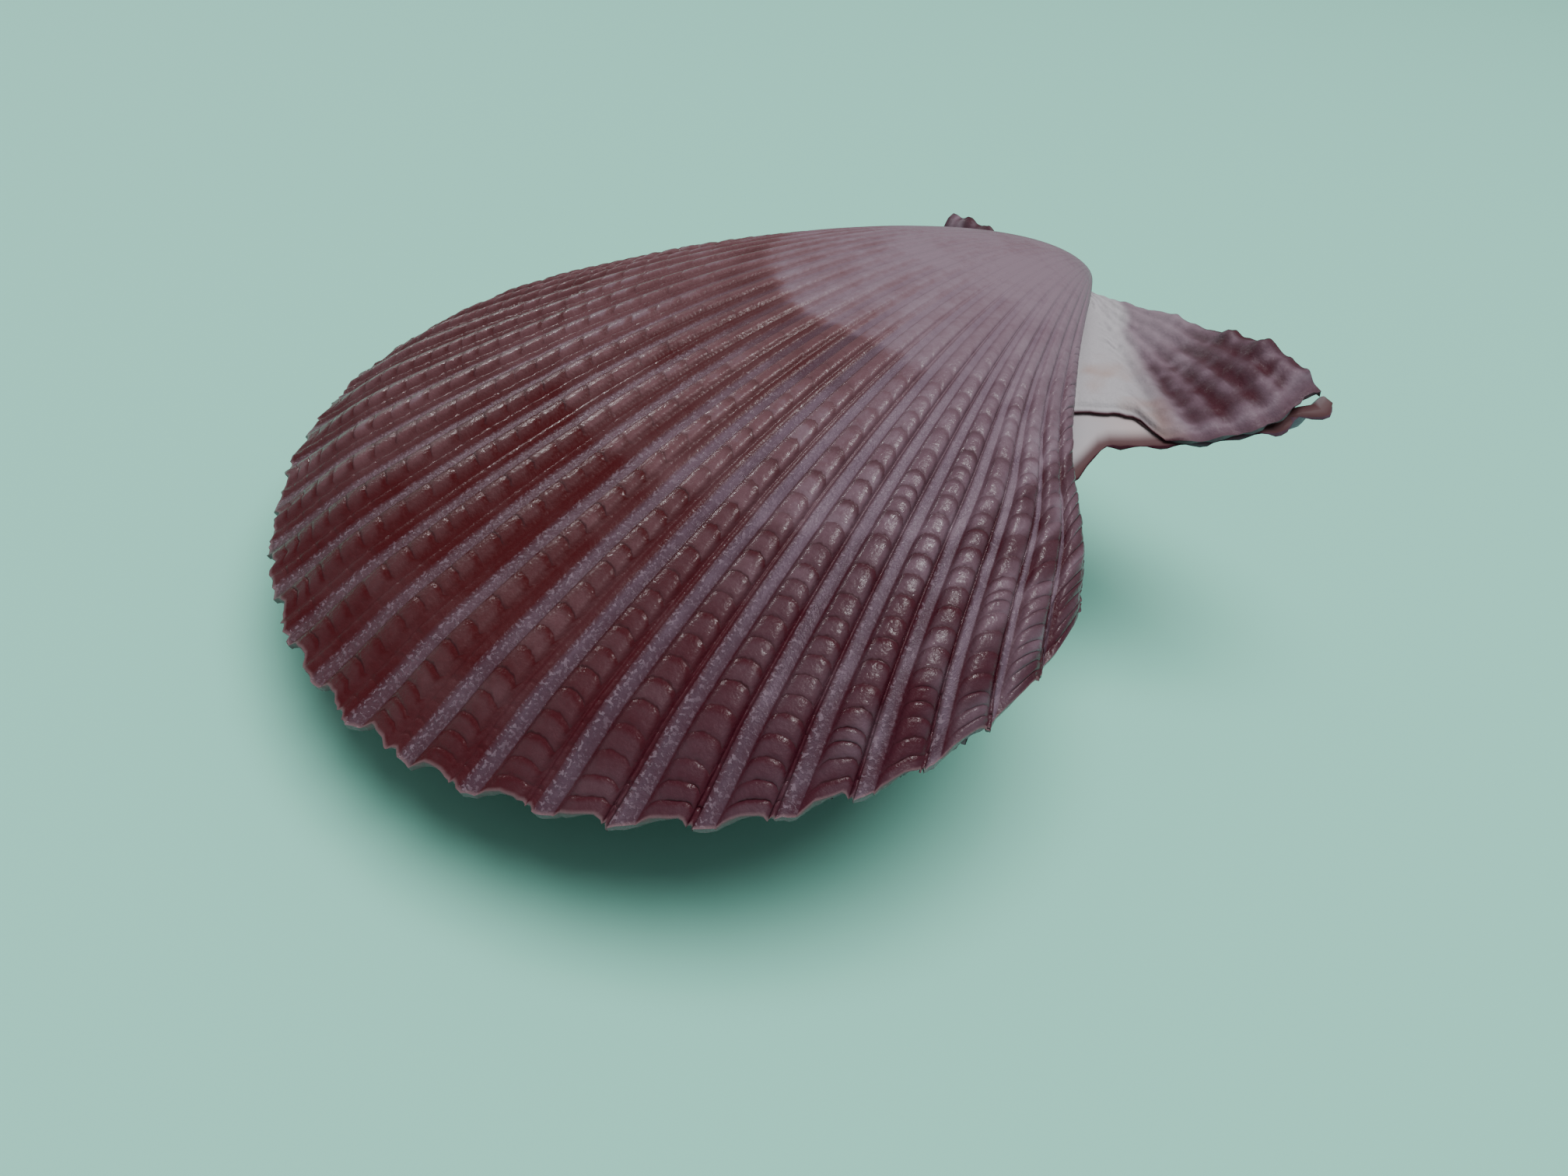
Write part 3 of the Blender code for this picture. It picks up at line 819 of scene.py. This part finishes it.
def build_valve(valve, materials, place):
    columns, growth, beads, points, parts = valve_mesh(valve)
    mesh = bpy.data.meshes.new(valve.name)
    placed = [place @ Vector(point) for point in points]
    for point in placed:
        point.z = max(point.z, 0.0)
    mesh.from_pydata(placed, [], parts.faces)
    mesh.polygons.foreach_set("material_index", parts.kinds)
    for name, values in vertex_attributes(valve, columns, growth, beads).items():
        layer = mesh.attributes.new(name, "FLOAT", "POINT")
        layer.data.foreach_set("value", values.astype(np.float32))
    shell = bmesh.new()
    shell.from_mesh(mesh)
    bmesh.ops.recalc_face_normals(shell, faces=shell.faces)
    shell.to_mesh(mesh)
    shell.free()
    mesh.polygons.foreach_set("use_smooth", [True] * len(mesh.polygons))
    mesh.set_sharp_from_angle(angle=math.radians(SHARP_ANGLE))
    for material in materials:
        mesh.materials.append(material)
    return add_object(valve.name, mesh)


def ligament_corners():
    """Outline of the ligament's solid in the shell's own axes."""
    start, end = LIGAMENT_SPAN
    half = LIGAMENT_THICKNESS / 2
    outline = ((start, LIGAMENT_TOP), (end, LIGAMENT_TOP), (-0.4 * RESILIUM_HALF, RESILIUM_TIP),
               (0.4 * RESILIUM_HALF, RESILIUM_TIP), (start, LIGAMENT_END), (end, LIGAMENT_END))
    return [Vector((*corner, up)) for corner in outline for up in (-half, half)]


def shell_to_frame():
    """From the shell's own axes to the frame, found from where the ligament lies."""
    turn = Euler((math.radians(REST_PITCH), math.radians(REST_ROLL), 0.0)).to_matrix()
    turned = [turn @ corner for corner in ligament_corners()]
    own = Vector([min(corner[axis] for corner in turned) for axis in range(3)])
    low = Vector(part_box("hinge_ligament")[0])
    return Matrix.Translation(low - own) @ turn.to_4x4()


# --- materials ---
class Graph:
    """A short way to write node trees."""

    def __init__(self, name):
        self.material = bpy.data.materials.new(name)
        self.material.use_nodes = True
        self.tree = self.material.node_tree
        self.shader = self.tree.nodes["Principled BSDF"]

    def node(self, kind, inputs=(), **settings):
        node = self.tree.nodes.new(kind)
        for name, value in settings.items():
            setattr(node, name, value)
        for key, value in dict(inputs).items():
            self.feed(node.inputs[key], value)
        return node

    def feed(self, socket, value):
        if isinstance(value, bpy.types.NodeSocket):
            self.tree.links.new(value, socket)
        elif isinstance(value, (tuple, list)) and socket.type == "RGBA":
            socket.default_value = (*value, 1.0)
        else:
            socket.default_value = value

    def set(self, name, value):
        """Set or link one of the shader's own inputs."""
        self.feed(self.shader.inputs[name], value)

    def attribute(self, name):
        return self.node("ShaderNodeAttribute", attribute_name=name).outputs["Fac"]

    def calc(self, operation, first, second=0.0, third=0.0):
        inputs = {0: first, 1: second, 2: third}
        return self.node("ShaderNodeMath", inputs, operation=operation).outputs[0]

    def plus(self, *parts):
        return reduce(lambda total, part: self.calc("ADD", total, part), parts)

    def times(self, *parts):
        return reduce(lambda total, part: self.calc("MULTIPLY", total, part), parts)

    def scaled(self, value, factor, shift):
        return self.calc("MULTIPLY_ADD", value, factor, shift)

    def remap(self, value, low, high, start=0.0, end=1.0):
        inputs = {"Value": value, "From Min": low, "From Max": high, "To Min": start,
                  "To Max": end}
        node = self.node("ShaderNodeMapRange", inputs, interpolation_type="SMOOTHSTEP")
        return node.outputs["Result"]

    def mix(self, share, first, second, blend="MIX"):
        node = self.node("ShaderNodeMix", data_type="RGBA", blend_type=blend)
        self.feed(node.inputs[0], share)
        self.feed(node.inputs[6], first)
        self.feed(node.inputs[7], second)
        return node.outputs[2]

    def ramp(self, value, stops):
        node = self.node("ShaderNodeValToRGB", {"Fac": value})
        elements = node.color_ramp.elements
        while len(elements) < len(stops):
            elements.new(0.5)
        for element, (place, colour) in zip(elements, stops):
            element.position = place
            element.color = (*colour, 1.0)
        return node.outputs["Color"]

    def vector(self, across, along, up=0.0):
        return self.node("ShaderNodeCombineXYZ", {0: across, 1: along, 2: up}).outputs[0]

    def noise(self, scale, detail, vector):
        inputs = {"Scale": scale, "Detail": detail, "Vector": vector}
        return self.node("ShaderNodeTexNoise", inputs).outputs["Fac"]

    def chance(self, across, along, seed=0.0):
        """A random number for every whole pair of numbers."""
        inputs = {"Vector": self.vector(across, along, seed)}
        return self.node("ShaderNodeTexWhiteNoise", inputs).outputs["Value"]

    def object_place(self):
        return self.node("ShaderNodeTexCoord").outputs["Object"]

    def bump(self, height, strength):
        inputs = {"Strength": strength, "Distance": BUMP_DEPTH, "Height": height}
        self.set("Normal", self.node("ShaderNodeBump", inputs).outputs[0])


PALE = (0.230, 0.165, 0.208)
RED_STEPS = ((0.0, PALE), (0.30, (0.140, 0.062, 0.072)), (0.64, (0.086, 0.0280, 0.0325)),
             (1.0, (0.062, 0.0040, 0.0062)))
LILAC_STEPS = ((0.0, PALE), (0.30, (0.136, 0.088, 0.124)), (0.55, (0.080, 0.043, 0.064)),
               (1.0, (0.054, 0.011, 0.023)))
# DEEP: the creases' dark red, partly painted shade in the crevices.
DEEP = (0.026, 0.0018, 0.0050)
BUFF = (0.42, 0.31, 0.28)
EDGE_PINK = (0.23, 0.145, 0.160)
# Painted shade for the inner side near the edge.
EDGE_SHADE_BROWN = (0.095, 0.042, 0.046)
WHITE_SHELL = (0.47, 0.455, 0.485)
WARM_SHELL = (0.55, 0.46, 0.46)
LOWER_TINT = (0.9, 0.85, 0.95)  # the lower valve is a little darker and cooler
HORN_DARK = (0.030, 0.014, 0.008)
HORN_PALE = (0.11, 0.055, 0.03)
BUMP_DEPTH = 0.0001  # metres


def skin_material(name, tint):
    """Ribbed outer surface: pale beak, dark red bands, frosted lanes and dark creases, with
    painted glints and painted shade.
    """
    graph = Graph(name)
    plus, times, scaled, remap = graph.plus, graph.times, graph.scaled, graph.remap
    growth, phase, bead, crest, lane, frost_glint, darkness, lilac, ear, white = map(
        graph.attribute, ATTRIBUTES)
    place = graph.object_place()
    cloudy = graph.noise(420.0, 3.0, place)
    grain = graph.noise(2600.0, 2.0, place)
    pits = graph.noise(6500.0, 2.0, place)
    amount = plus(darkness, scaled(cloudy, 0.36, -0.18), scaled(grain, 0.20, -0.10))

    # Dark creases between a rib's beads, and a darker beak side on each bead: partly their own
    # dark red, partly painted shade.
    wander = graph.noise(1.0, 1.0, graph.vector(times(phase, 11.0), times(bead, 3.0)))
    uneven = plus(bead, scaled(wander, 0.16, -0.08))
    share = graph.calc("FRACT", uneven)
    rib = graph.calc("FLOOR", phase)
    bead_chance = graph.chance(rib, graph.calc("FLOOR", uneven))
    crease_chance = graph.chance(rib, graph.calc("ROUND", uneven), 7.0)
    low_side = remap(share, 0.01, 0.075, 1.0, 0.0)
    high_side = remap(share, 0.945, 0.995)
    shade = times(remap(share, 0.55, 1.0), crest, remap(growth, 0.42, 0.7, 0.0, 0.52),
                  scaled(bead_chance, 0.9, 0.25))
    crease = times(graph.calc("MAXIMUM", low_side, high_side), crest, remap(growth, 0.42, 0.58))
    faint = scaled(crease_chance, 0.75, 0.25)
    stained = remap(amount, 0.10, 0.60, 0.20, 0.85)
    change = times(scaled(bead_chance, -0.16, 0.08), remap(growth, 0.45, 0.70, 0.2, 1.0), crest)
    amount = plus(amount, shade, change)
    colour = graph.mix(lilac, graph.ramp(amount, RED_STEPS), graph.ramp(amount, LILAC_STEPS))
    colour = graph.mix(times(crease, times(stained, faint)), colour, DEEP)

    # Pale specks along one side of the lanes: the frosted scales' own pale colour, and painted
    # sparkle highlights.
    specks = remap(graph.noise(5600.0, 2.0, place), 0.52, 0.62)
    specks = times(specks, remap(growth, 0.45, 0.6), frost_glint)
    colour = graph.mix(times(specks, 0.62), colour, PALE)

    # The pink rim, and the white strip on the front ear, which is buff further out.
    rim = times(remap(growth, 0.9955, 0.9995), remap(ear, 0.0, 1.0, 0.60, 0.0))
    colour = graph.mix(rim, colour, EDGE_PINK)
    buff = remap(graph.noise(300.0, 2.0, place), 0.42, 0.62)
    buff = times(buff, remap(growth, 0.45, 0.85))
    colour = graph.mix(white, colour, graph.mix(buff, WHITE_SHELL, BUFF))
    graph.set("Base Color", graph.mix(1.0, colour, tint, "MULTIPLY"))

    matt = graph.calc("MAXIMUM", remap(growth, 0.50, 0.36, 0.0, 0.22), times(ear, 0.22))
    graph.set("Roughness", plus(scaled(pits, 0.50, 0.07), remap(phase, -5.0, -11.0, 0.0, 0.20),
                                times(crease, 0.30), times(lane, 0.12), matt))
    graph.set("IOR", 1.5)
    graph.set("Specular IOR Level", 0.3)

    scales = graph.noise(1.0, 2.0, graph.vector(times(phase, 16.0), times(bead, 8.0)))
    scales = times(scales, times(lane, 0.6))
    graph.bump(plus(times(grain, 0.7), scales, times(cloudy, 0.5), specks, times(pits, 0.6)),
               0.42)
    return graph.material


def inside_material():
    """Smooth white inner side, warmer in clouds, with painted shade in brown towards the edge and
    the same brown on the ears' inner faces near their edges.
    """
    graph = Graph("shell_inside")
    place = graph.object_place()
    soft = graph.noise(160.0, 3.0, place)
    colour = graph.mix(graph.remap(soft, 0.35, 0.7), WHITE_SHELL, WARM_SHELL)
    # Painted shade: brown towards the edge, where the underside lies in shadow; also brown on the
    # ears' inner faces near their edges.
    near_edge = graph.remap(graph.attribute("growth"), 0.90, 1.0)
    near_edge = graph.calc("MAXIMUM", near_edge, graph.attribute("darkness"))
    graph.set("Base Color", graph.mix(near_edge, colour, EDGE_SHADE_BROWN))
    graph.set("Roughness", 0.60)
    graph.set("Specular IOR Level", 0.3)
    graph.bump(graph.noise(1800.0, 2.0, place), 0.2)
    return graph.material


def ligament_material():
    """Dark brown horny band, with fine layers."""
    graph = Graph("ligament_horn")
    layers = graph.noise(3000.0, 3.0, graph.object_place())
    graph.set("Base Color", graph.mix(layers, HORN_DARK, HORN_PALE))
    graph.set("Roughness", 0.45)
    graph.bump(layers, 0.4)
    return graph.material


# --- stage ---
CAMERA_PLACE = (1.0180, -1.1305, 0.7679)  # in shell heights, in the shell's own axes
CAMERA_AIM = (0.2398, -0.6227, 0.0)
CAMERA_ROLL = 4.10  # degrees
CAMERA_LIFT = 0.0010
LENS = 30.47  # mm
SENSOR = 36.0  # mm
CLIP = (0.001, 20.0)
LIGHTS_AIM = (0.0, 0.0, 0.01)
# Name, place, size, power, colour, whether it lights the shell and whether it glints on it.
LIGHTS = (("key", (0.10, 0.05, 0.75), 0.80, 6.9, (1.0, 0.99, 0.98), True, False),
          ("glint", (-0.03, 0.16, 0.55), 0.05, 1.0, (1.0, 1.0, 1.0), False, True),
          ("low_glint", (-0.58, 0.02, 0.27), 0.04, 0.45, (1.0, 1.0, 1.0), False, True))
FLOOR_REACH = 1.2
FLOOR_COLOUR = (0.33, 0.82, 0.67)
SKY_COLOUR = (0.92, 0.95, 0.96, 1.0)
SKY_STRENGTH = 0.28


def add_camera(place):
    eye = place @ (Vector(CAMERA_PLACE) * HEIGHT + Vector((0, 0, CAMERA_LIFT)))
    aim = place @ (Vector(CAMERA_AIM) * HEIGHT + Vector((0, 0, CAMERA_LIFT)))
    forward = (aim - eye).normalized()
    upright = place.to_3x3() @ Vector((0, 0, 1))
    upright = (upright - forward * upright.dot(forward)).normalized()
    aside = forward.cross(upright)
    roll = math.radians(CAMERA_ROLL)
    up = upright * math.cos(roll) + aside * math.sin(roll)
    right = forward.cross(up)
    data = bpy.data.cameras.new("camera")
    data.lens = LENS
    data.sensor_width = SENSOR
    data.clip_start, data.clip_end = CLIP
    camera = add_object("camera", data)
    turn = Matrix((right, up, -forward)).transposed().to_4x4()
    camera.matrix_world = Matrix.Translation(eye) @ turn
    bpy.context.scene.camera = camera


def add_lights():
    for name, eye, size, power, colour, matt, glossy in LIGHTS:
        data = bpy.data.lights.new(name, "AREA")
        data.shape = "DISK"
        data.size = size
        data.energy = power
        data.color = colour
        light = add_object(name, data)
        light.location = eye
        light.visible_diffuse = matt
        light.visible_glossy = glossy
        aim = Vector(LIGHTS_AIM) - Vector(eye)
        light.rotation_euler = aim.to_track_quat("-Z", "Y").to_euler()


def add_floor():
    mesh = bpy.data.meshes.new("floor")
    corners = [(FLOOR_REACH * across, FLOOR_REACH * along, 0)
               for across, along in ((-1, -1), (1, -1), (1, 1), (-1, 1))]
    mesh.from_pydata(corners, [], [(0, 1, 2, 3)])
    graph = Graph("floor")
    graph.set("Base Color", FLOOR_COLOUR)
    graph.set("Roughness", 0.8)
    mesh.materials.append(graph.material)
    floor = add_object("floor", mesh)


def add_world():
    world = bpy.data.worlds.new("room")
    world.use_nodes = True
    sky = world.node_tree.nodes["Background"]
    sky.inputs["Color"].default_value = SKY_COLOUR
    sky.inputs["Strength"].default_value = SKY_STRENGTH
    bpy.context.scene.world = world


# --- the two valves ---
# side: up or down, shift: in ribs, flank_inset and first_riblet: in degrees, edge_drop and
# front_floor: in metres, ridge and follow: shares of the raised hinge edge, ear_lobe and
# inset: shares of the radius.
RIGHT_VALVE = SimpleNamespace(
    name="upper_valve", side=1, seed=1.0, shift=0.0, spiral=RIGHT_SPIRAL, inset=0.0,
    flank_inset=0.0, edge=EDGE_UNDERSIDE, edge_drop=0.00042, front_ear=RIGHT_FRONT_EAR,
    riblets=5, first_riblet=59.5, front_floor=0.00032, ear_lobe=0.010, ridge=1.0, follow=0.0)
LEFT_VALVE = SimpleNamespace(
    name="lower_valve", side=-1, seed=2.0, shift=0.5, spiral=LEFT_SPIRAL, inset=0.034,
    flank_inset=2.6, edge=MATING_UNDERSIDE, edge_drop=0.00050, front_ear=LEFT_FRONT_EAR,
    riblets=6, first_riblet=48.0, front_floor=-0.00020, ear_lobe=0.003, ridge=0.0, follow=0.75)


def main():
    place = shell_to_frame()
    right_skin = skin_material("right_skin", (1.0, 1.0, 1.0))
    left_skin = skin_material("left_skin", LOWER_TINT)
    inside = inside_material()
    for valve, node, skin in ((RIGHT_VALVE, "right_valve", right_skin),
                              (LEFT_VALVE, "left_valve", left_skin)):
        piece = build_valve(valve, (skin, inside), place)
        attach(piece, "root")
        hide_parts(node)
    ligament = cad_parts["hinge_ligament"]
    ligament.data.materials.clear()
    ligament.data.materials.append(ligament_material())

    add_floor()
    add_world()
    add_camera(place)
    add_lights()


main()
